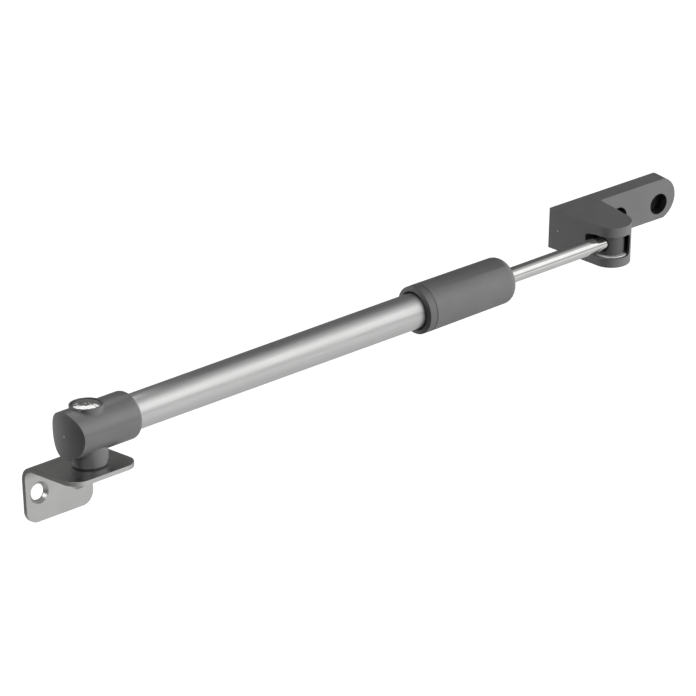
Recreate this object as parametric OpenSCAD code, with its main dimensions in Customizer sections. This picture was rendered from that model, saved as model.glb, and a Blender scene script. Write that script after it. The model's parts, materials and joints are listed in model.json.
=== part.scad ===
// Telescopic window stay with a twist grip that clamps the sliding rod.
// Origin: middle of the two frame screws, on the face that goes against the window frame.
// +X runs along the stay towards the sash, +Y into the window frame, +Z up. Millimetres.

/* [Frame bracket] */
// Width of the angle bracket along the stay
bracket_w = 37; // [34:0.5:50]
// Depth of its level plate, from the mounting face to the front edge
bracket_depth = 36; // [34:0.5:44]
// Height of its upright plate
bracket_h = 27.5; // [25:0.5:40]
// Thickness of the stainless plate
plate_t = 2; // [1.5:0.1:2.5]
// Outer radius of the bend between the two plates
bend_r = 7; // [4:0.5:9]
// Radius of the two front corners
front_corner_r = 8; // [4:0.5:12]
// Radius of the two lower corners
lower_corner_r = 6; // [3:0.5:9]
// Spacing of the two frame screws
frame_hole_spacing = 22; // [18:0.5:24]
// Radius of the frame screw holes
frame_hole_r = 3.6; // [2.5:0.1:3.8]
// Radius of their countersinks on the front
countersink_r = 5.1; // [4.2:0.1:5.4]
// Depth of the screw row below the top of the bracket
screw_drop = 14.5; // [13:0.5:18]

/* [Frame pivot] */
// Distance of the pivot axis from the mounting face
pivot_reach = 22; // [20:0.5:26]
// Distance of the pivot axis from the middle of the screws, along the stay
pivot_offset = 1.4; // [0:0.1:4]
// Height of the tube's axis above the top of the bracket
axis_height = 16.4; // [15:0.2:22]
// Radius of the rivet's shank
rivet_r = 3; // [2.5:0.1:3.4]
// Radius of the rivet's polished head
rivet_head_r = 6.35; // [5.6:0.05:6.6]
// Wall of the bush round the rivet
bush_wall = 1.2; // [0.8:0.1:1.6]
// Radius of the raised boss that the rivet's head sits in
top_boss_r = 7.5; // [7.3:0.05:8]
// Height of that boss above the tube's axis
top_boss_h = 11.2; // [10.9:0.1:12.5]
// Radius of the neck under the end cap
neck_r = 8.2; // [7.8:0.1:8.6]
// Radius of the narrower foot of that neck
foot_r = 7.6; // [7:0.1:7.8]
// Height of the foot of the neck
foot_h = 2.2; // [1:0.1:3]
// Thickness of the washer under the foot
base_washer_t = 0.5; // [0.4:0.1:1.2]

/* [Tube and end cap] */
// Outer radius of the tube
tube_r = 8; // [7.6:0.1:8.2]
// Wall of the tube
tube_wall = 1; // [0.8:0.1:1.2]
// Outer radius of the end cap
cap_r = 10.8; // [10.4:0.1:12]
// Length of the end cap behind the pivot
cap_back = 13; // [11:0.2:15]
// Radius of its bulged end face, upright like the pivot
cap_end_r = 23.5; // [16:0.5:40]
// Length of the end cap in front of the pivot
cap_front = 22.6; // [20:0.2:30]
// Radius of the end cap's rounded rim next to the tube
cap_round = 2.5; // [1:0.1:2.6]
// Distance from the pivot to the blind end of the tube
tube_start = 10.4; // [10:0.2:12]
// Distance from the pivot to the far end of the tube
tube_end = 204; // [180:1:260]

/* [Twist grip] */
// Length of tube that the grip covers
grip_overlap = 18.4; // [14:0.2:22]
// Length of the ring that closes the grip's mouth
grip_ring_len = 4.6; // [3.6:0.1:8]
// Radius of the grip next to that ring
grip_r = 10.9; // [10.8:0.05:12]
// Radius of the grip at its far end
grip_end_r = 10.55; // [10.2:0.05:12]
// Length of the whole grip
grip_len = 53; // [52:0.2:70]
// Radius of the rounding at its far end
grip_round = 4.5; // [2:0.1:5]
// Gap between the mouth of the grip and the tube
mouth_gap = 0.5; // [0.3:0.05:0.7]

/* [Rod and piston] */
// Radius of the sliding rod
rod_r = 3.5; // [3:0.1:3.7]
// Distance between the two pivots as drawn
pivot_distance = 302.6; // [290:0.2:400]
// Distance from the frame pivot to the piston as drawn
piston_start = 70; // [68:0.5:90]
// Length of the piston
piston_len = 12; // [9:0.5:16]
// Running clearance of the rod and the piston
slide_gap = 0.08; // [0.04:0.01:0.1]

/* [Sash bracket] */
// Length of the bar
bar_len = 68; // [64:0.5:90]
// Height of the bar and of the pivot block
bar_h = 19.2; // [18:0.2:24]
// Radius of the bar's round end beyond half its height
bar_end_bluntness = 0.8; // [0:0.1:4]
// Thickness of the bar
bar_t = 7.6; // [6.5:0.1:10]
// Distance of the pivot axis from the face that goes against the sash
sash_reach = 26; // [24:0.5:34]
// Distance of the pivot axis from the square end of the bar
sash_end = 13.5; // [12:0.5:18]
// Radius of the rounded nose of the block
nose_r = 9; // [8.6:0.1:9.4]
// Distance of the pivot axis from the block's side next to the screws
block_side = 9.8; // [9.4:0.1:11]
// Distance from the pivot axis to the far screw
far_screw = 45; // [42:0.5:60]
// Spacing of the two sash screws
sash_hole_spacing = 24; // [22:0.5:26]
// Depth of the screw row below the middle of the bar
sash_hole_drop = 2.2; // [0:0.1:3]
// Radius of the counterbores for the screw heads
counterbore_r = 4.8; // [4:0.1:5]
// Depth of these counterbores
counterbore_depth = 5; // [3:0.1:5.4]
// Radius of the sash screw holes
sash_hole_r = 2.4; // [2:0.1:3]
// Radius of the barrel that carries the rod
barrel_r = 6.2; // [6:0.1:6.4]
// Height of the barrel
barrel_h = 9.6; // [7.9:0.1:9.8]
// Radius of the fork pin
pin_r = 2; // [1.6:0.1:2.2]
// Turn of the sash bracket about the rod as drawn, in degrees
sash_roll = 6.8; // [-20:0.1:20]
// Turn of the sash bracket about its own pin as drawn, in degrees
sash_yaw = -1.2; // [-3:0.1:0]

/* [Hidden] */
$fn = 96;
cut = 1;
pivot_z = screw_drop + axis_height;
bracket_top = -axis_height;
bend_inner = bend_r - plate_t;
hinge_gap = 0.05;
play = 0.2;
soft_gap = 0.3;
bush_r = rivet_r + hinge_gap + bush_wall;
head_t = 1.6;
head_dome = 0.5;
recess_r = rivet_head_r + soft_gap;
recess_floor = top_boss_h - head_t - head_dome - play;
rivet_washer_t = 0.8;
rivet_washer_w = 2.6;
rivet_washer_r = rivet_r + rivet_washer_w;
rivet_tail_w = 1.4;
rivet_tail_r = rivet_r + rivet_tail_w;
rivet_tail_t = 1.3;
foot_bottom = bracket_top + base_washer_t + play;
tube_bore_r = tube_r - tube_wall;
spigot_len = 7.5;
clamp_plug_len = 10;
clamp_flange_t = 2;
clamp_neck_r = 6.3;
clamp_neck_len = 7;
clamp_flat = 1;
guide_r = rod_r + slide_gap;
socket_len = 5;
collet_shank_r = 4.9;
collet_head_len = 3;
collet_r = 5.9;
collet_tip_r = 4.4;
slit_w = 0.8;
slit_count = 4;
grip_start = tube_end - grip_overlap;
grip_end = grip_start + grip_len;
rod_wiper_r = 5;
rod_wiper_len = 7;
rod_wiper_inset = 1.4;
rod_wiper_end = grip_end - rod_wiper_inset;
wedge_room = 4.6;
wedge_overhang = 2;
wedge_travel = 3;
grip_wall = 1.9;
neck_end = tube_end + clamp_flange_t + clamp_neck_len;
collet_head_end = neck_end + collet_head_len;
wedge_start = tube_end + clamp_flange_t + wedge_travel;
wedge_end = rod_wiper_end - rod_wiper_len - wedge_room;
collet_end = wedge_end - wedge_overhang;
taper = (collet_r - collet_tip_r) / (collet_end - collet_head_end);
wedge_r = grip_r - grip_wall - soft_gap;
sleeve_start = grip_start + grip_ring_len;
sleeve_bore_r = wedge_r + soft_gap;
mouth_bore_r = grip_r - 1;
shoulder_setback = 2;
shoulder = tube_end - shoulder_setback;
snap_t = 1.4;
snap_start = shoulder - soft_gap - snap_t;
snap_r = mouth_bore_r - soft_gap;
groove_depth = tube_wall / 2;
spigot_end = snap_start - soft_gap;
mouth_r = tube_r + mouth_gap;
wiper_setback = 0.3;
wiper_start = grip_start + wiper_setback;
wiper_dish = 0.5;
wiper_len = 1.3;
wiper_foot_len = 1.5;
wiper_foot_w = 1;
wiper_seat_r = mouth_r + wiper_foot_w;
groove_chamfer = 0.35;
ring_edge = 0.3;
ring_draft = 0.1;
ring_lip = 0.3;
ring_mouth_r = grip_r - ring_draft - ring_edge - ring_lip;
rod_hole_r = rod_r + 0.4;
buffer_len = 4;
buffer_r = tube_bore_r - 0.4;
rod_neck_r = 2;
piston_end = piston_start + piston_len;
piston_r = tube_bore_r - slide_gap;
ring_w = 2;
ring_depth = 1;
clip_t = 1;
clip_r = 4;
clip_gap = 0.2;
rod_start = piston_start - clip_gap - clip_t - 1;
slot_top = barrel_h / 2 + play;
pocket_wall = 1;
pocket_r = nose_r - pocket_wall;
washer_t = 0.5;
washer_r = pocket_r - play;
slot_bottom = -barrel_h / 2 - play - washer_t;
rod_slot_top = rod_r + 0.65;
rod_slot_bottom = -rod_r - 1.15;
slot_room = 2.2;
slot_depth = rod_r + slot_room;
slot_corner = 1.5;
window_corner = 2.5;
window_wall = 4.7;
window_end = nose_r - window_wall;
rod_tip = pin_r + hinge_gap + 0.6;
mouth_relief = 0.25;
mouth_relief_len = 1.4;
nose_inset = 0.03;
pin_cover = 2.2;
pin_recess = 0.6;
pin_top = bar_h / 2 - pin_cover;
pin_bottom = -bar_h / 2 + pin_recess;
bar_front = sash_reach - bar_t;
bar_end_r = bar_h / 2 + bar_end_bluntness;

// Moves to the crossing of the frame pivot and the tube's axis
module at_pivot() {
    translate([pivot_offset, -pivot_reach, pivot_z]) children();
}

// Moves to the sash pivot, rolled with the rod
module at_barrel() {
    at_pivot() translate([pivot_distance, 0, 0]) rotate([sash_roll, 0, 0]) children();
}

// Moves to the sash pivot, turned with the sash bracket
module at_sash() {
    at_barrel() rotate([0, 0, sash_yaw]) children();
}

// Turns a profile, drawn with the radius across and the length up, about the tube's axis
module turned() {
    rotate([0, 90, 0]) rotate_extrude() children();
}

// Straight round bar or ring along the tube's axis
module round_bar(x0, x1, r, bore = 0) {
    turned() translate([bore, x0]) square([r - bore, x1 - x0]);
}

// Upright round bar or ring
module post(z0, z1, r, bore = 0) {
    rotate_extrude() translate([bore, z0]) square([r - bore, z1 - z0]);
}

// Half profile of a bar with a rounded rim at its far end
module rounded_profile(x0, x1, r, rim) {
    translate([0, x0]) square([r - rim, x1 - x0]);
    translate([0, x0]) square([r, x1 - x0 - rim]);
    translate([r - rim, x1 - rim]) circle(rim);
}

// Rectangle from the X axis to y = len, with its two far corners rounded
module tongue(w, len, r) {
    translate([-w / 2, 0]) square([w, len - r]);
    translate([-w / 2 + r, 0]) square([w - 2 * r, len]);
    for (side = [-1, 1]) translate([side * (w / 2 - r), len - r]) circle(r);
}

// Section of the bent plate, seen along the stay: depth across, height up
module bent_section() {
    translate([-bracket_depth, -plate_t]) square([bracket_depth - bend_r, plate_t]);
    translate([-plate_t, -bracket_h]) square([plate_t, bracket_h - bend_r]);
    intersection() {
        translate([-bend_r, -bend_r]) difference() {
            circle(bend_r);
            circle(bend_inner);
        }
        translate([-bend_r, -bend_r]) square(bend_r);
    }
}

// Hole along Y from the mounting face, countersunk on the far side
module countersunk_hole() {
    rotate([90, 0, 0]) {
        translate([0, 0, -cut]) cylinder(h = plate_t + 2 * cut, r = frame_hole_r);
        translate([0, 0, plate_t - (countersink_r - frame_hole_r)])
            cylinder(h = countersink_r - frame_hole_r, r1 = frame_hole_r, r2 = countersink_r);
        translate([0, 0, plate_t]) cylinder(h = cut, r = countersink_r);
    }
}

module frame_bracket() color("silver") difference() {
    translate([0, 0, screw_drop]) intersection() {
        rotate([90, 0, 90]) translate([0, 0, -bracket_w / 2])
            linear_extrude(bracket_w) bent_section();
        translate([0, 0, -bracket_h]) linear_extrude(bracket_h)
            mirror([0, 1]) tongue(bracket_w, bracket_depth, front_corner_r);
        rotate([90, 0, 0]) linear_extrude(bracket_depth)
            mirror([0, 1]) tongue(bracket_w, bracket_h, lower_corner_r);
    }
    for (side = [-1, 1]) translate([side * frame_hole_spacing / 2, 0, 0]) countersunk_hole();
    at_pivot() post(bracket_top - plate_t - cut, bracket_top + cut, rivet_r);
}

module base_washer() color("gainsboro") at_pivot()
    post(bracket_top, bracket_top + base_washer_t, foot_r - play, rivet_r);

// Domed polished head, shank and closed tail in one piece
module pivot_rivet() color("whitesmoke") at_pivot() {
    head_bottom = recess_floor + play;
    tail_top = bracket_top - plate_t - rivet_washer_t;
    dome_r = (rivet_head_r ^ 2 + head_dome ^ 2) / (2 * head_dome);
    intersection() {
        translate([0, 0, top_boss_h - dome_r]) sphere(dome_r);
        post(head_bottom, top_boss_h, rivet_head_r);
    }
    post(tail_top, head_bottom, rivet_r);
    translate([0, 0, tail_top - rivet_tail_t])
        cylinder(h = rivet_tail_t, r1 = rivet_tail_r - 0.5, r2 = rivet_tail_r);
}

module rivet_washer() color("silver") at_pivot()
    post(bracket_top - plate_t - rivet_washer_t, bracket_top - plate_t, rivet_washer_r, rivet_r);

module end_cap() color("dimgray") at_pivot() difference() {
    union() {
        intersection() {
            turned() rounded_profile(-cap_back - cut, cap_front, cap_r, cap_round);
            translate([cap_end_r - cap_back, 0, 0]) post(-cap_r - cut, cap_r + cut, cap_end_r);
        }
        post(0, top_boss_h, top_boss_r);
        post(foot_bottom + foot_h, 0, neck_r);
        post(foot_bottom, foot_bottom + foot_h, foot_r);
    }
    post(recess_floor, top_boss_h + cut, recess_r);
    post(foot_bottom - cut, recess_floor + cut, bush_r);
    round_bar(tube_start, cap_front + cut, tube_r, tube_bore_r);
    round_bar(tube_start + spigot_len, cap_front + cut, tube_r);
}

module pivot_bush() color("burlywood") at_pivot()
    post(foot_bottom, recess_floor, bush_r, rivet_r + hinge_gap);

module tube() color("lightgray") at_pivot() difference() {
    round_bar(tube_start, tube_end, tube_r, tube_bore_r);
    round_bar(snap_start, snap_start + snap_t, tube_r + cut, tube_r - groove_depth);
}

// Neck with two flats, which keep the wedge ring from turning
module flatted(x0, x1, r, flat) {
    intersection() {
        round_bar(x0, x1, r);
        translate([x0, -r + flat, -r]) cube([x1 - x0, 2 * (r - flat), 2 * r]);
    }
}

module clamp_body() color("goldenrod") at_pivot() difference() {
    union() {
        round_bar(tube_end - clamp_plug_len, tube_end, tube_bore_r);
        round_bar(tube_end, tube_end + clamp_flange_t, tube_r);
        flatted(tube_end + clamp_flange_t, neck_end, clamp_neck_r, clamp_flat);
    }
    round_bar(tube_end - clamp_plug_len - cut, neck_end + cut, guide_r);
    round_bar(neck_end - socket_len, neck_end + cut, collet_shank_r);
}

// Split collet: a shank in the clamp body and tapered jaws that close on the rod
module collet() color("white") at_pivot() difference() {
    turned() polygon([
        [guide_r, neck_end - socket_len], [collet_shank_r, neck_end - socket_len],
        [collet_shank_r, neck_end], [collet_r, neck_end], [collet_r, collet_head_end],
        [collet_tip_r, collet_end], [guide_r, collet_end]
    ]);
    for (i = [0 : slit_count / 2 - 1])
        rotate([i * 360 / slit_count, 0, 0])
            translate([neck_end + 1, -slit_w / 2, -collet_r - cut])
                cube([collet_end - neck_end + cut, slit_w, 2 * (collet_r + cut)]);
}

module rod_buffer() color("black") at_pivot()
    round_bar(tube_end - clamp_plug_len - buffer_len, tube_end - clamp_plug_len, buffer_r, rod_hole_r);

module snap_ring() color("silver") at_pivot()
    round_bar(snap_start, snap_start + snap_t, snap_r, tube_r - groove_depth);

module grip_sleeve() color("dimgray") at_pivot() difference() {
    turned() {
        polygon([
            [0, sleeve_start], [grip_r - groove_chamfer, sleeve_start],
            [grip_r, sleeve_start + groove_chamfer], [grip_end_r, grip_end - grip_round],
            [grip_end_r - grip_round, grip_end], [0, grip_end]
        ]);
        translate([grip_end_r - grip_round, grip_end - grip_round]) circle(grip_round);
    }
    round_bar(sleeve_start - cut, shoulder, mouth_bore_r);
    round_bar(shoulder - cut, rod_wiper_end - rod_wiper_len, sleeve_bore_r);
    round_bar(rod_wiper_end - rod_wiper_len - cut, rod_wiper_end, rod_wiper_r);
    round_bar(rod_wiper_end - cut, grip_end + cut, rod_hole_r);
}

module grip_end_ring() color("dimgray") at_pivot() difference() {
    union() {
        turned() polygon([
            [mouth_r, wiper_start + wiper_len], [ring_mouth_r, wiper_start + wiper_len],
            [ring_mouth_r, grip_start], [ring_mouth_r + ring_lip, grip_start],
            [grip_r - ring_draft, grip_start + ring_edge],
            [grip_r, sleeve_start - groove_chamfer], [grip_r - groove_chamfer, sleeve_start],
            [mouth_r, sleeve_start]
        ]);
        round_bar(sleeve_start, spigot_end, mouth_bore_r, mouth_r);
    }
    round_bar(wiper_start, wiper_start + wiper_len + wiper_foot_len, wiper_seat_r);
}

// Black lip ring in the mouth, with a dished face
module tube_wiper() color("black") at_pivot() turned() polygon([
    [mouth_r, wiper_start + wiper_dish], [ring_mouth_r, wiper_start],
    [ring_mouth_r, wiper_start + wiper_len], [wiper_seat_r, wiper_start + wiper_len],
    [wiper_seat_r, wiper_start + wiper_len + wiper_foot_len],
    [mouth_r, wiper_start + wiper_len + wiper_foot_len]
]);

module rod_wiper() color("black") at_pivot()
    round_bar(rod_wiper_end - rod_wiper_len, rod_wiper_end, rod_wiper_r, guide_r);

// Ring with a tapered bore that the grip's thread draws over the collet
module wedge_ring() color("goldenrod") at_pivot() difference() {
    round_bar(wedge_start, wedge_end, wedge_r);
    flatted(wedge_start - cut, neck_end + cut, clamp_neck_r + play, clamp_flat);
    round_bar(neck_end, collet_head_end, clamp_neck_r + play);
    turned() polygon([
        [0, collet_head_end], [collet_r + soft_gap, collet_head_end],
        [collet_r + soft_gap - taper * (wedge_end + cut - collet_head_end), wedge_end + cut],
        [0, wedge_end + cut]
    ]);
}

module piston() color("white") at_pivot() difference() {
    round_bar(piston_start, piston_end, piston_r, rod_neck_r + hinge_gap);
    round_bar(piston_start + (piston_len - ring_w) / 2, piston_start + (piston_len + ring_w) / 2,
        tube_r, piston_r - ring_depth);
}

module piston_ring() color("black") at_pivot()
    round_bar(piston_start + (piston_len - ring_w) / 2, piston_start + (piston_len + ring_w) / 2,
        piston_r, piston_r - ring_depth);

module rod() color("whitesmoke") at_pivot() {
    difference() {
        round_bar(rod_start, piston_end + play, rod_neck_r);
        round_bar(piston_start - clip_gap - clip_t, piston_start - clip_gap, rod_r, rod_neck_r - 0.4);
    }
    round_bar(piston_end + play, pivot_distance - rod_tip, rod_r);
}

module piston_clip() color("silver") at_pivot()
    round_bar(piston_start - clip_gap - clip_t, piston_start - clip_gap, clip_r, rod_neck_r - 0.4);

// Upright barrel on the end of the rod, with a relieved mouth round the rod
module barrel() color("gray") at_barrel() difference() {
    post(-barrel_h / 2, barrel_h / 2, barrel_r, pin_r + hinge_gap);
    round_bar(-barrel_r - cut, -rod_tip, rod_r);
    round_bar(-barrel_r - cut, -barrel_r + mouth_relief_len, rod_r + mouth_relief);
}

// Point just inside the nose's circle, where a line from p comes nearest to its centre
function nose_point(p, side) =
    let (near = nose_r - nose_inset, turn = atan2(p[1], p[0]) + side * acos(near / norm(p)))
    [near * cos(turn), near * sin(turn)];

// Plan of the pivot block: two sides that run from the bar onto the rounded nose
module block_plan() {
    back = [-sash_end, sash_reach];
    step = [block_side, bar_front];
    polygon([
        back, nose_point(back, 1), [0, 0], nose_point(step, -1), step,
        [block_side, sash_reach]
    ]);
    circle(nose_r);
}

// Outline of the bar beyond the pivot axis, seen from the front, round at its far end
module bar_outline() {
    intersection() {
        translate([0, -bar_h / 2]) square([bar_len - sash_end + cut, bar_h]);
        hull() {
            translate([bar_len - sash_end - bar_end_r, 0]) circle(bar_end_r);
            translate([0, -bar_end_r]) square([1, 2 * bar_end_r]);
        }
    }
}

// Opening as high as the barrel's pocket, with rounded corners at x = len between two heights
module window_outline(len, bottom, top, r, straight) hull() {
    translate([0, slot_bottom]) square([straight, slot_top - slot_bottom]);
    translate([len - r, bottom + r]) circle(r);
    translate([len - r, top - r]) circle(r);
}

// Opening of the fork in front of the barrel, closed on the side of the screws
module window_front() {
    translate([-sash_end - cut, 0, 0]) rotate([90, 0, 0])
        linear_extrude(nose_r + cut)
            window_outline(sash_end + cut + window_end, slot_bottom, slot_top, window_corner, sash_end);
}

// Opening of the fork on the side that the rod leaves from
module window_side() {
    translate([0, -nose_r - cut, 0]) rotate([90, 0, -90]) mirror([1, 0, 0])
        linear_extrude(sash_end + cut)
            window_outline(nose_r + cut + slot_depth, rod_slot_bottom, rod_slot_top, slot_corner, nose_r + cut);
}

module sash_bracket() color("gray") at_sash() difference() {
    union() {
        translate([0, sash_reach, 0]) rotate([90, 0, 0]) linear_extrude(bar_t) bar_outline();
        translate([0, 0, -bar_h / 2]) linear_extrude(bar_h) block_plan();
    }
    post(slot_bottom, slot_top, pocket_r);
    window_front();
    window_side();
    post(-bar_h / 2 - cut, pin_top, pin_r);
    for (x = [far_screw - sash_hole_spacing, far_screw])
        translate([x, sash_reach, -sash_hole_drop]) rotate([90, 0, 0]) {
            translate([0, 0, -cut]) cylinder(h = bar_t + 2 * cut, r = sash_hole_r);
            translate([0, 0, bar_t - counterbore_depth])
                cylinder(h = counterbore_depth + cut, r = counterbore_r);
        }
}

module fork_pin() color("silver") at_sash() post(pin_bottom, pin_top, pin_r);

module fork_washer() color("silver") at_sash()
    post(slot_bottom, slot_bottom + washer_t, washer_r, pin_r);

frame_bracket();
base_washer();
pivot_rivet();
rivet_washer();
end_cap();
pivot_bush();
tube();
clamp_body();
collet();
rod_buffer();
snap_ring();
grip_sleeve();
grip_end_ring();
tube_wiper();
rod_wiper();
wedge_ring();
piston();
piston_ring();
rod();
piston_clip();
barrel();
sash_bracket();
fork_pin();
fork_washer();
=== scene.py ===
import json
from math import pi, radians

import bmesh
import bpy
from mathutils import Matrix, Vector


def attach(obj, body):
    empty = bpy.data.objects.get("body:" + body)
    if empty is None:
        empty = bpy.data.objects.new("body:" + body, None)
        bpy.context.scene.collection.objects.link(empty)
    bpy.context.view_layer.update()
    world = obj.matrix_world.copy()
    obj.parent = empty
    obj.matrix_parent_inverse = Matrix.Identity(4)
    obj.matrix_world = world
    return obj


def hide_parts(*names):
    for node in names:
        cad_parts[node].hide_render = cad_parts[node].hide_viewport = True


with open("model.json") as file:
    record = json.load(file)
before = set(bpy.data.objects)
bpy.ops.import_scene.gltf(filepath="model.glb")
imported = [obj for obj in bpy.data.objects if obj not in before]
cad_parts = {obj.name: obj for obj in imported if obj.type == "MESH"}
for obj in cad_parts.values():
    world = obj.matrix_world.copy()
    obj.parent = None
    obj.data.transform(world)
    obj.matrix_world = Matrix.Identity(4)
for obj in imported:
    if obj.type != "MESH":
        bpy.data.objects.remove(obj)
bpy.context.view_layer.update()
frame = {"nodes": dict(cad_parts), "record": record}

MM = 0.001
PIVOT = Vector((1.4, -22.0, 30.9)) * MM
PIVOT_SPAN = 302.6
ROD_ROLL = 6.8
SASH_TURN = -1.2
UPRIGHT = Matrix.Rotation(-pi / 2, 4, "Y")
TUBE_AXIS = Matrix.Translation(PIVOT)
PIVOT_AXIS = TUBE_AXIS @ UPRIGHT
SASH_PIVOT = (
    Matrix.Translation(PIVOT + Vector((PIVOT_SPAN, 0, 0)) * MM)
    @ Matrix.Rotation(radians(ROD_ROLL), 4, "X")
    @ Matrix.Rotation(radians(SASH_TURN), 4, "Z")
)
SASH_PIN_AXIS = SASH_PIVOT @ UPRIGHT
CAP_GATE = TUBE_AXIS @ Matrix.Translation((-13 * MM, 0, 0))
FORK_GATE = (
    SASH_PIVOT
    @ Matrix.Translation(Vector((-12.63, 20.87, 0)) * MM)
    @ Matrix.Rotation(radians(9.6), 4, "Z")
)
SCREW_AXIS = (-0.0209, -0.9927, -0.1184)
CREASE = 40
WELD = 1e-6


# Materials

def start_material(name):
    material = bpy.data.materials.new(name)
    material.use_nodes = True
    tree = material.node_tree
    place = tree.nodes.new("ShaderNodeTexCoord")
    return material, tree, tree.nodes["Principled BSDF"], place.outputs["Object"]


def worked_out(tree, operation, first, second):
    """The result of a Math node; first and second are numbers or outputs of other nodes."""
    node = tree.nodes.new("ShaderNodeMath")
    node.operation = operation
    for socket, value in zip(node.inputs, (first, second)):
        if isinstance(value, (int, float)):
            socket.default_value = value
        else:
            tree.links.new(value, socket)
    return node.outputs[0]


def grain(tree, place, scale, stretch=(1, 1, 1), detail=2):
    """Noise of a given count per metre, drawn out along the axes whose stretch is small."""
    mapping = tree.nodes.new("ShaderNodeMapping")
    mapping.inputs["Scale"].default_value = stretch
    tree.links.new(place, mapping.inputs["Vector"])
    noise = tree.nodes.new("ShaderNodeTexNoise")
    noise.inputs["Scale"].default_value = scale
    noise.inputs["Detail"].default_value = detail
    noise.inputs["Roughness"].default_value = 0.5
    tree.links.new(mapping.outputs["Vector"], noise.inputs["Vector"])
    return noise.outputs["Fac"]


def spread(tree, value, low, high, start=0.3, end=0.7):
    """Maps a value from start..end, where most of the noise lies, to low..high."""
    node = tree.nodes.new("ShaderNodeMapRange")
    node.inputs["From Min"].default_value = start
    node.inputs["From Max"].default_value = end
    node.inputs["To Min"].default_value = low
    node.inputs["To Max"].default_value = high
    tree.links.new(value, node.inputs["Value"])
    return node.outputs["Result"]


def shade_between(tree, value, shades):
    """Maps noise to colours between the dark and the light one of the two shades."""
    ramp = tree.nodes.new("ShaderNodeValToRGB")
    for stop, position, shade in zip(ramp.color_ramp.elements, (0.3, 0.7), shades):
        stop.position = position
        stop.color = (*shade, 1)
    tree.links.new(value, ramp.inputs["Fac"])
    return ramp.outputs["Color"]


def relief(tree, shader, heights):
    """Adds bumps one after another; each is (value, strength, depth in metres)."""
    last = None
    for value, strength, depth in heights:
        bump = tree.nodes.new("ShaderNodeBump")
        bump.inputs["Strength"].default_value = strength
        bump.inputs["Distance"].default_value = depth
        tree.links.new(value, bump.inputs["Height"])
        if last:
            tree.links.new(last, bump.inputs["Normal"])
        last = bump.outputs["Normal"]
    tree.links.new(last, shader.inputs["Normal"])


def away_from(tree, place, point, axis, radius, edge=0.15):
    """0 within the radius of an axis through the point and 1 past its soft edge, in mm."""
    offset = tree.nodes.new("ShaderNodeVectorMath")
    offset.operation = "SUBTRACT"
    offset.inputs[1].default_value = Vector(point) * MM
    tree.links.new(place, offset.inputs[0])
    across = tree.nodes.new("ShaderNodeVectorMath")
    across.operation = "CROSS_PRODUCT"
    across.inputs[1].default_value = Vector(axis).normalized()
    tree.links.new(offset.outputs["Vector"], across.inputs[0])
    length = tree.nodes.new("ShaderNodeVectorMath")
    length.operation = "LENGTH"
    tree.links.new(across.outputs["Vector"], length.inputs[0])
    return spread(tree, length.outputs["Value"], 0, 1, radius * MM, (radius + edge) * MM)


def moulded_grey(name, greys, rough=(0.42, 0.54), shine=0.5, spots=()):
    """Grey moulding with round spots of another grey, each (point, axis, radius, level) in mm."""
    material, tree, shader, place = start_material(name)
    flow = grain(tree, place, 60)
    sparks = grain(tree, place, 5200)
    colour = shade_between(tree, flow, greys)
    for point, axis, radius, level in spots:
        blend = tree.nodes.new("ShaderNodeMix")
        blend.data_type = "RGBA"
        factor, inside, outside = [socket for socket in blend.inputs if socket.enabled]
        inside.default_value = (level, level, level, 1)
        tree.links.new(away_from(tree, place, point, axis, radius), factor)
        tree.links.new(colour, outside)
        colour = next(socket for socket in blend.outputs if socket.enabled)
    tree.links.new(colour, shader.inputs["Base Color"])
    tree.links.new(spread(tree, sparks, *rough), shader.inputs["Roughness"])
    shader.inputs["Specular IOR Level"].default_value = shine
    relief(tree, shader, [(flow, 0.05, 0.0004), (sparks, 0.16, 0.00003)])
    return material


def satin_tube():
    material, tree, shader, place = start_material("satin_tube")
    lines = grain(tree, place, 2600, stretch=(0.02, 1, 1), detail=4)
    cloud = grain(tree, place, 90, stretch=(0.3, 1, 1))
    colour = shade_between(tree, lines, ((0.66, 0.66, 0.655), (0.74, 0.74, 0.735)))
    shader.inputs["Metallic"].default_value = 1
    tree.links.new(colour, shader.inputs["Base Color"])
    tree.links.new(spread(tree, cloud, 0.35, 0.41), shader.inputs["Roughness"])
    relief(tree, shader, [(lines, 0.12, 0.00002)])
    return material


def stamped_stainless():
    material, tree, shader, place = start_material("stamped_stainless")
    lines = grain(tree, place, 1900, stretch=(0.03, 1, 1), detail=4)
    cloud = grain(tree, place, 70)
    colour = shade_between(tree, cloud, ((0.56, 0.56, 0.55), (0.62, 0.62, 0.61)))
    shader.inputs["Metallic"].default_value = 1
    tree.links.new(colour, shader.inputs["Base Color"])
    tree.links.new(spread(tree, lines, 0.27, 0.31), shader.inputs["Roughness"])
    relief(tree, shader, [(lines, 0.015, 0.00002), (cloud, 0.03, 0.0003)])
    return material


def turned_metal(name, shades, rough, marks=0.06, metal=1.0):
    """Metal with fine rings across the X axis."""
    material, tree, shader, place = start_material(name)
    rings = grain(tree, place, 3000, stretch=(1, 0.08, 0.08), detail=3)
    cloud = grain(tree, place, 160)
    shader.inputs["Metallic"].default_value = metal
    tree.links.new(shade_between(tree, cloud, shades), shader.inputs["Base Color"])
    tree.links.new(spread(tree, rings, *rough), shader.inputs["Roughness"])
    relief(tree, shader, [(rings, marks, 0.00002)])
    return material


def closed_rivet():
    material, tree, shader, place = start_material("closed_rivet")
    dents = grain(tree, place, 480)
    fine = grain(tree, place, 2500, detail=3)
    colour = shade_between(tree, dents, ((0.74, 0.74, 0.73), (0.84, 0.84, 0.83)))
    shader.inputs["Metallic"].default_value = 1
    tree.links.new(colour, shader.inputs["Base Color"])
    tree.links.new(spread(tree, fine, 0.06, 0.16), shader.inputs["Roughness"])
    relief(tree, shader, [(dents, 0.9, 0.0004), (fine, 0.05, 0.00003)])
    return material


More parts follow.
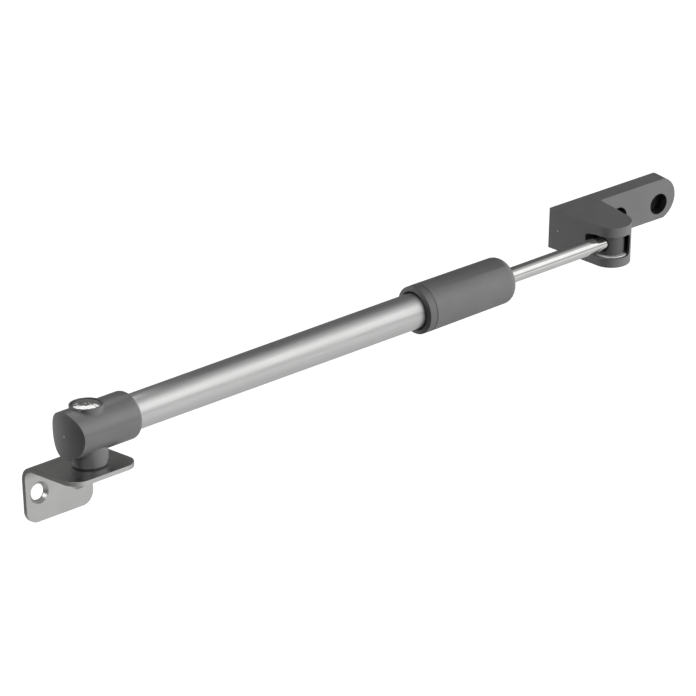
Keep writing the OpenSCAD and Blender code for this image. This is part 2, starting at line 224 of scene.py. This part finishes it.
def plain_moulding(name, shades, rough):
    material, tree, shader, place = start_material(name)
    cloud = grain(tree, place, 140)
    fine = grain(tree, place, 3600)
    tree.links.new(shade_between(tree, cloud, shades), shader.inputs["Base Color"])
    tree.links.new(spread(tree, fine, *rough), shader.inputs["Roughness"])
    relief(tree, shader, [(fine, 0.1, 0.00004)])
    return material


GRIP_GREYS = ((0.138, 0.139, 0.140), (0.156, 0.157, 0.157))
CAP_GREYS = ((0.130, 0.131, 0.132), (0.147, 0.148, 0.148))
RING_GREYS = ((0.112, 0.113, 0.114), (0.126, 0.127, 0.127))
# The barrel's greys are darker than the grip's: painted shade for the shadow under the upper
# cheek
BARREL_PAINTED_SHADE_GREYS = ((0.078, 0.078, 0.078), (0.090, 0.090, 0.089))
finishes = {
    "grey_moulding": moulded_grey("moulded_grey", GRIP_GREYS),
    "tube_aluminium": satin_tube(),
    "stainless_plate": stamped_stainless(),
    "rivet_chrome": closed_rivet(),
    "polished_rod": turned_metal(
        "drawn_rod", ((0.74, 0.74, 0.73), (0.80, 0.80, 0.79)), (0.10, 0.16), marks=0.03,
    ),
    "small_steel": turned_metal(
        "zinc_steel", ((0.84, 0.84, 0.83), (0.90, 0.90, 0.89)), (0.22, 0.32), metal=0.5,
    ),
    "clamp_brass": turned_metal(
        "turned_brass", ((0.66, 0.50, 0.24), (0.74, 0.58, 0.30)), (0.20, 0.30),
    ),
    "nylon": plain_moulding(
        "natural_nylon", ((0.72, 0.71, 0.66), (0.80, 0.79, 0.74)), (0.40, 0.50),
    ),
    "black_rubber": plain_moulding(
        "black_rubber", ((0.028, 0.028, 0.028), (0.040, 0.040, 0.040)), (0.46, 0.58),
    ),
}
# The spots are painted light: a pale painted highlight on the cap's and the fork's gate marks, a
# painted shadow ring round the rod where it enters the barrel, and painted shade in the
# counterbores
smooth_moulding = moulded_grey(
    "smooth_moulded_grey", CAP_GREYS, (0.30, 0.38), shine=0.85,
    # A pale painted highlight on the cap's gate mark
    spots=[(PIVOT / MM, (1, 0, 0), 0.4, 0.5)],
)
ring_moulding = moulded_grey("ring_grey", RING_GREYS)
# Painted shade over the whole barrel, with a near-black painted shadow ring round the rod where
# it enters
barrel_painted_shade_moulding = moulded_grey(
    "barrel_grey_painted_shade", BARREL_PAINTED_SHADE_GREYS, spots=[((304, -22, 30.9), (1, 0, 0), 4.0, 0.01)],
)
fork_moulding_painted_shade_and_highlight = moulded_grey(
    "fork_grey_painted_shade_and_highlight", GRIP_GREYS,
    spots=[
        # Painted shade: the two counterbores are coloured near black
        ((325.51, 2.34, 31.59), SCREW_AXIS, 4.85, 0.01),
        ((349.51, 1.85, 31.53), SCREW_AXIS, 4.85, 0.015),
        # A pale painted highlight on the fork's gate mark
        (FORK_GATE.translation / MM, FORK_GATE.col[0].to_3d(), 0.35, 0.4),
    ],
)
slot_of = {part["node"]: part["material_slot"] for part in frame["record"]["subparts"]}
body_of = {
    node: body
    for body, nodes in frame["record"]["behaviour"]["bodies"].items()
    for node in nodes
}


# Pieces

def mesh_object(name, bm):
    mesh = bpy.data.meshes.new(name)
    bm.to_mesh(mesh)
    bm.free()
    made = bpy.data.objects.new(name, mesh)
    bpy.context.scene.collection.objects.link(made)
    return made


def add_piece(name, bm, node, finish=None):
    """Makes the bmesh a piece that stands for the CAD node and rides with its body."""
    bmesh.ops.recalc_face_normals(bm, faces=bm.faces)
    piece = mesh_object(name, bm)
    piece.data.shade_smooth()
    piece.data.set_sharp_from_angle(angle=radians(CREASE))
    piece.data.materials.append(finish or finishes[slot_of[node]])
    even = piece.modifiers.new("even_shading", "WEIGHTED_NORMAL")
    even.keep_sharp = True
    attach(piece, body_of[node])
    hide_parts(node)


def rounded(bm, edges, size, segments, clamp):
    bmesh.ops.bevel(
        bm, geom=edges, offset=size * MM, offset_type="OFFSET", segments=segments,
        profile=0.5, affect="EDGES", material=-1, clamp_overlap=clamp,
    )


def turned(outline, place, rims=(), steps=112):
    """Spins an outline of (length, radius) points about the X axis and moves it to its place.

    Each rim to round is (length, radius, size, segments). All lengths are in mm."""
    bm = bmesh.new()
    points = [bm.verts.new((along * MM, radius * MM, 0)) for along, radius in outline]
    for first, second in zip(points, points[1:] + points[:1]):
        bm.edges.new((first, second))
    bmesh.ops.spin(
        bm, geom=bm.verts[:] + bm.edges[:], cent=(0, 0, 0), axis=(1, 0, 0),
        angle=2 * pi, steps=steps, use_merge=True,
    )
    bmesh.ops.remove_doubles(bm, verts=bm.verts, dist=WELD)
    bmesh.ops.dissolve_degenerate(bm, edges=bm.edges, dist=WELD / 10)
    for along, radius, size, segments in rims:
        ring = [
            edge for edge in bm.edges
            if all(
                abs(v.co.x - along * MM) < WELD
                and abs(Vector(v.co.yz).length - radius * MM) < WELD
                for v in edge.verts
            )
        ]
        rounded(bm, ring, size, segments, clamp=False)
    bmesh.ops.transform(bm, matrix=place, verts=bm.verts)
    return bm


def eased(node, width, segments=3, angle=28):
    """A merged copy of a CAD node's mesh with its sharp edges rounded, width in mm."""
    bm = bmesh.new()
    bm.from_mesh(frame["nodes"][node].data)
    bmesh.ops.remove_doubles(bm, verts=bm.verts, dist=2 * WELD)
    bmesh.ops.dissolve_degenerate(bm, edges=bm.edges, dist=WELD)
    bmesh.ops.dissolve_limit(
        bm, angle_limit=radians(0.5), use_dissolve_boundaries=False,
        verts=bm.verts, edges=bm.edges, delimit=set(),
    )
    sharp = [
        edge for edge in bm.edges
        if len(edge.link_faces) == 2 and edge.calc_face_angle(0) > radians(angle)
    ]
    rounded(bm, sharp, width, segments, clamp=True)
    return bm


def gate_mark(bm, place, radius=0.55, height=0.14):
    """Adds the low round mark that moulding leaves, facing the X axis of its place, in mm."""
    dome = bmesh.ops.create_uvsphere(bm, u_segments=24, v_segments=12, radius=radius * MM)
    bmesh.ops.scale(bm, vec=(height / radius, 1, 1), verts=dome["verts"])
    bmesh.ops.transform(bm, matrix=place, verts=dome["verts"])
    return bm


add_piece("angle_plate", eased("frame_bracket", 0.3), "frame_bracket")
add_piece(
    "foot_ring",
    turned(
        [(-16.4, 3), (-16.4, 7.4), (-15.9, 7.4), (-15.9, 3)], PIVOT_AXIS,
        rims=[(-16.4, 7.4, 0.12, 2), (-15.9, 7.4, 0.12, 2)],
    ),
    "base_washer",
)
# The closed tail, the shank and the domed head, whose edge stands near the rim of its recess
add_piece(
    "rivet",
    turned(
        [(-20.2, 0), (-20.2, 3.9), (-18.9, 4.4), (-18.9, 3), (9.1, 3), (9.1, 6.35), (10.9, 6.35),
         (11.25, 5.6), (11.5, 4.8), (11.68, 4), (11.82, 3), (11.91, 1.8), (11.95, 0)],
        PIVOT_AXIS,
        rims=[(-20.2, 3.9, 0.4, 3), (10.9, 6.35, 0.2, 4), (9.1, 6.35, 0.2, 2)],
    ),
    "pivot_rivet",
)
add_piece(
    "end_cap_body",
    gate_mark(eased("end_cap", 0.35, segments=1, angle=30), CAP_GATE),
    "end_cap",
    finish=smooth_moulding,
)
add_piece(
    "outer_tube",
    turned([(10.4, 7), (10.4, 8), (204, 8), (204, 7)], TUBE_AXIS, rims=[(204, 8, 0.2, 2)]),
    "tube",
)
add_piece(
    "grip",
    turned(
        [(190.2, 9.9), (190.2, 10.55), (190.55, 10.9), (234.1, 10.55), (238.6, 10.55),
         (238.6, 3.9), (237.2, 3.9), (237.2, 5), (230.2, 5), (230.2, 9), (202, 9), (202, 9.9)],
        TUBE_AXIS,
        rims=[(238.6, 10.55, 4.5, 12), (238.6, 3.9, 0.3, 3), (190.55, 10.9, 0.15, 2)],
    ),
    "grip_sleeve",
)
add_piece(
    "grip_mouth_ring",
    turned(
        [(189.5, 8.5), (189.5, 8.75), (185.65, 8.75), (185.6, 8.9), (186, 10.55),
         (186.35, 10.87), (189.85, 10.9), (190.2, 10.55), (190.2, 9.9), (200, 9.9), (200, 8.5)],
        TUBE_AXIS,
        rims=[(189.85, 10.9, 0.12, 2)],
    ),
    "grip_end_ring",
    finish=ring_moulding,
)
add_piece(
    "mouth_lip",
    turned(
        [(186, 8.5), (186, 8.75), (188.7, 8.75), (188.7, 8.5)], TUBE_AXIS,
        rims=[(186, 8.5, 0.06, 2)],
    ),
    "tube_wiper",
)
add_piece(
    "sliding_rod",
    turned(
        [(67.8, 0), (67.8, 2), (68.8, 2), (68.8, 1.6), (69.8, 1.6), (69.8, 2), (82.2, 2),
         (82.2, 3.5), (299.95, 3.5), (299.95, 0)],
        TUBE_AXIS,
        rims=[(82.2, 3.5, 0.3, 2)],
        steps=72,
    ),
    "rod",
)
add_piece("fork_barrel", eased("barrel", 0.2), "barrel", finish=barrel_painted_shade_moulding)
add_piece(
    "sash_fork",
    gate_mark(eased("sash_bracket", 0.35), FORK_GATE),
    "sash_bracket",
    finish=fork_moulding_painted_shade_and_highlight,
)
add_piece(
    "fork_ring",
    turned(
        [(-5.5, 2), (-5.5, 7.8), (-5, 7.8), (-5, 2)], SASH_PIN_AXIS,
        rims=[(-5, 7.8, 0.15, 3), (-5.5, 7.8, 0.12, 2)],
    ),
    "fork_washer",
)
for name, node in frame["nodes"].items():
    if not node.hide_render:
        node.data.materials.clear()
        node.data.materials.append(finishes[slot_of[name]])


# Camera, where the photograph was taken from

PHOTO_WIDTH = 696
FOCAL_PIXELS = 10451.4
RIGHT = Vector((0.74837, -0.66129, -0.05146))
DOWN = Vector((-0.27072, -0.23371, -0.93387))
AWAY = Vector((0.60552, 0.71280, -0.35393))
PIVOT_SEEN = Vector((-110.47, 34.04, 4432.3)) * MM

camera_data = bpy.data.cameras.new("camera")
camera = bpy.data.objects.new("camera", camera_data)
bpy.context.scene.collection.objects.link(camera)
bpy.context.scene.camera = camera
camera.location = PIVOT - (RIGHT * PIVOT_SEEN.x + DOWN * PIVOT_SEEN.y + AWAY * PIVOT_SEEN.z)
camera.rotation_mode = "QUATERNION"
camera.rotation_quaternion = Matrix((RIGHT, -DOWN, -AWAY)).transposed().to_quaternion()
camera_data.sensor_fit = "HORIZONTAL"
camera_data.sensor_width = 36
camera_data.lens = FOCAL_PIXELS / PHOTO_WIDTH * camera_data.sensor_width
camera_data.clip_start = 0.1
camera_data.clip_end = 60


# Studio; the sizes, distances and heights here are in metres

FLOOR_HEIGHT = -0.16
FLOOR_GREY = 0.4
FLOOR_GLOW = 0.85
SURROUND_RADIUS = 2
SURROUND_LENGTH = 8
RIVET_HEAD = PIVOT + Vector((0, 0, 11)) * MM


def seen_directly(tree):
    """1 for camera, glossy and transmission rays, which see the backdrop; 0 for diffuse light."""
    path = tree.nodes.new("ShaderNodeLightPath")
    total = path.outputs["Is Camera Ray"]
    for kind in ("Is Glossy Ray", "Is Transmission Ray"):
        total = worked_out(tree, "MAXIMUM", total, path.outputs[kind])
    return total


def before_scatter(tree, strength):
    """The strength, but 0 for rays that a matt surface has scattered: they make only noise."""
    path = tree.nodes.new("ShaderNodeLightPath")
    direct = worked_out(tree, "LESS_THAN", path.outputs["Diffuse Depth"], 0.5)
    return worked_out(tree, "MULTIPLY", direct, strength)


def soft_light(name, toward, distance, size, watts):
    """A square soft light that shines on the middle of the stay and isn't seen in the metal."""
    middle = PIVOT + Vector((150, 0, 0)) * MM
    data = bpy.data.lights.new(name, "AREA")
    data.shape = "SQUARE"
    data.size = size
    data.energy = watts
    light = bpy.data.objects.new(name, data)
    bpy.context.scene.collection.objects.link(light)
    direction = Vector(toward).normalized()
    light.location = middle + direction * distance
    light.rotation_mode = "QUATERNION"
    light.rotation_quaternion = direction.to_track_quat("Z", "Y")
    light.visible_glossy = False


def only_reflected(thing):
    for ray in ("camera", "diffuse", "shadow", "transmission", "volume_scatter"):
        setattr(thing, f"visible_{ray}", False)


def start_glow(name):
    material = bpy.data.materials.new(name)
    material.use_nodes = True
    tree = material.node_tree
    tree.nodes.remove(tree.nodes["Principled BSDF"])
    glow = tree.nodes.new("ShaderNodeEmission")
    output = tree.nodes["Material Output"]
    tree.links.new(glow.outputs["Emission"], output.inputs["Surface"])
    return material, tree, glow


def glow_card(name, toward, distance, size, strength):
    """A card, seen only in reflections, that faces the rivet's head; size is width and height."""
    direction = Vector(toward).normalized()
    facing = direction.to_track_quat("Z", "Y").to_matrix()
    bm = bmesh.new()
    bmesh.ops.create_grid(bm, x_segments=1, y_segments=1, size=0.5)
    bmesh.ops.scale(bm, vec=(*size, 1), verts=bm.verts)
    bmesh.ops.rotate(bm, cent=(0, 0, 0), matrix=facing, verts=bm.verts)
    bmesh.ops.translate(bm, vec=RIVET_HEAD + direction * distance, verts=bm.verts)
    card = mesh_object(name, bm)
    only_reflected(card)
    material, tree, glow = start_glow(name)
    tree.links.new(before_scatter(tree, strength), glow.inputs["Strength"])
    card.data.materials.append(material)


world = bpy.data.worlds.new("studio")
bpy.context.scene.world = world
world.use_nodes = True
tree = world.node_tree
background = tree.nodes["Background"]
background.inputs["Color"].default_value = (1, 1, 1, 1)
tree.links.new(
    spread(tree, seen_directly(tree), 0.05, 1, start=0, end=1), background.inputs["Strength"],
)

# The floor is white paper that is clear from below, so that the stay can be seen from there too
bm = bmesh.new()
bmesh.ops.create_grid(bm, x_segments=1, y_segments=1, size=8)
bmesh.ops.translate(bm, vec=(0.17, 0, FLOOR_HEIGHT), verts=bm.verts)
floor = mesh_object("floor", bm)
paper = bpy.data.materials.new("pale_paper")
paper.use_nodes = True
tree = paper.node_tree
shader = tree.nodes["Principled BSDF"]
shader.inputs["Base Color"].default_value = (FLOOR_GREY, FLOOR_GREY, FLOOR_GREY, 1)
shader.inputs["Roughness"].default_value = 0.9
shader.inputs["Specular IOR Level"].default_value = 0.1
shader.inputs["Emission Color"].default_value = (1, 1, 1, 1)
tree.links.new(
    worked_out(tree, "MULTIPLY", seen_directly(tree), FLOOR_GLOW),
    shader.inputs["Emission Strength"],
)
side = tree.nodes.new("ShaderNodeNewGeometry")
clear = tree.nodes.new("ShaderNodeBsdfTransparent")
one_way = tree.nodes.new("ShaderNodeMixShader")
tree.links.new(side.outputs["Backfacing"], one_way.inputs["Fac"])
tree.links.new(shader.outputs["BSDF"], one_way.inputs[1])
tree.links.new(clear.outputs["BSDF"], one_way.inputs[2])
tree.links.new(one_way.outputs["Shader"], tree.nodes["Material Output"].inputs["Surface"])
floor.data.materials.append(paper)

soft_light("key", (0.56, -0.80, 0.22), 2.2, 1.2, 63)
soft_light("rim", (-0.5, 0.84, 0.22), 1.6, 1.0, 27)

# The surround shows only in reflections: bright where the key light stands, dark behind the stay
WALL_LEVELS = [
    (-180, 0.15), (-155, 0.30), (-120, 0.52), (-90, 0.56), (-40, 0.66), (-20, 0.92), (-7, 0.44),
    (2, 0.44), (11, 1.15), (48, 1.25), (60, 0.65), (90, 0.34), (105, 0.12), (150, 0.13),
    (180, 0.15),
]
bm = bmesh.new()
bmesh.ops.create_cone(
    bm, cap_ends=False, segments=96, radius1=SURROUND_RADIUS, radius2=SURROUND_RADIUS,
    depth=SURROUND_LENGTH,
)
bmesh.ops.rotate(
    bm, cent=(0, 0, 0), matrix=Matrix.Rotation(pi / 2, 3, "Y"), verts=bm.verts,
)
bmesh.ops.translate(bm, vec=PIVOT, verts=bm.verts)
for vert in bm.verts:
    vert.co.z = max(vert.co.z, FLOOR_HEIGHT + 0.01)
surround = mesh_object("surround", bm)
only_reflected(surround)
studio_walls, tree, glow = start_glow("studio_walls")
place = tree.nodes.new("ShaderNodeTexCoord")
parts = tree.nodes.new("ShaderNodeSeparateXYZ")
tree.links.new(place.outputs["Object"], parts.inputs["Vector"])
ahead = worked_out(tree, "SUBTRACT", PIVOT.y, parts.outputs["Y"])
above = worked_out(tree, "SUBTRACT", parts.outputs["Z"], PIVOT.z)
height = worked_out(tree, "ARCTAN2", above, ahead)
ramp = tree.nodes.new("ShaderNodeValToRGB")
stops = ramp.color_ramp.elements
while len(stops) < len(WALL_LEVELS):
    stops.new(0.5)
for stop, (angle, level) in zip(stops, WALL_LEVELS):
    stop.position = (angle + 180) / 360
    stop.color = (level, level, level, 1)
tree.links.new(spread(tree, height, 0, 1, start=-pi, end=pi), ramp.inputs["Fac"])
tree.links.new(ramp.outputs["Color"], glow.inputs["Color"])
# It fades past the end cap, so that faces turned that way reflect little
fade = tree.nodes.new("ShaderNodeMapRange")
fade.interpolation_type = "SMOOTHSTEP"
fade.inputs["From Min"].default_value = -0.6
fade.inputs["From Max"].default_value = 0.1
fade.inputs["To Min"].default_value = 0.15
fade.inputs["To Max"].default_value = 1
tree.links.new(parts.outputs["X"], fade.inputs["Value"])
tree.links.new(before_scatter(tree, fade.outputs["Result"]), glow.inputs["Strength"])
surround.data.materials.append(studio_walls)

glow_card("rivet_card", (0.338, 0.398, 0.853), 0.07, (0.084, 0.05), 1.2)
glow_card("edge_card", (-0.67, -0.42, 0.61), 1.5, (1.2, 1.2), 2.5)

view = bpy.context.scene.view_settings
view.view_transform = "Standard"
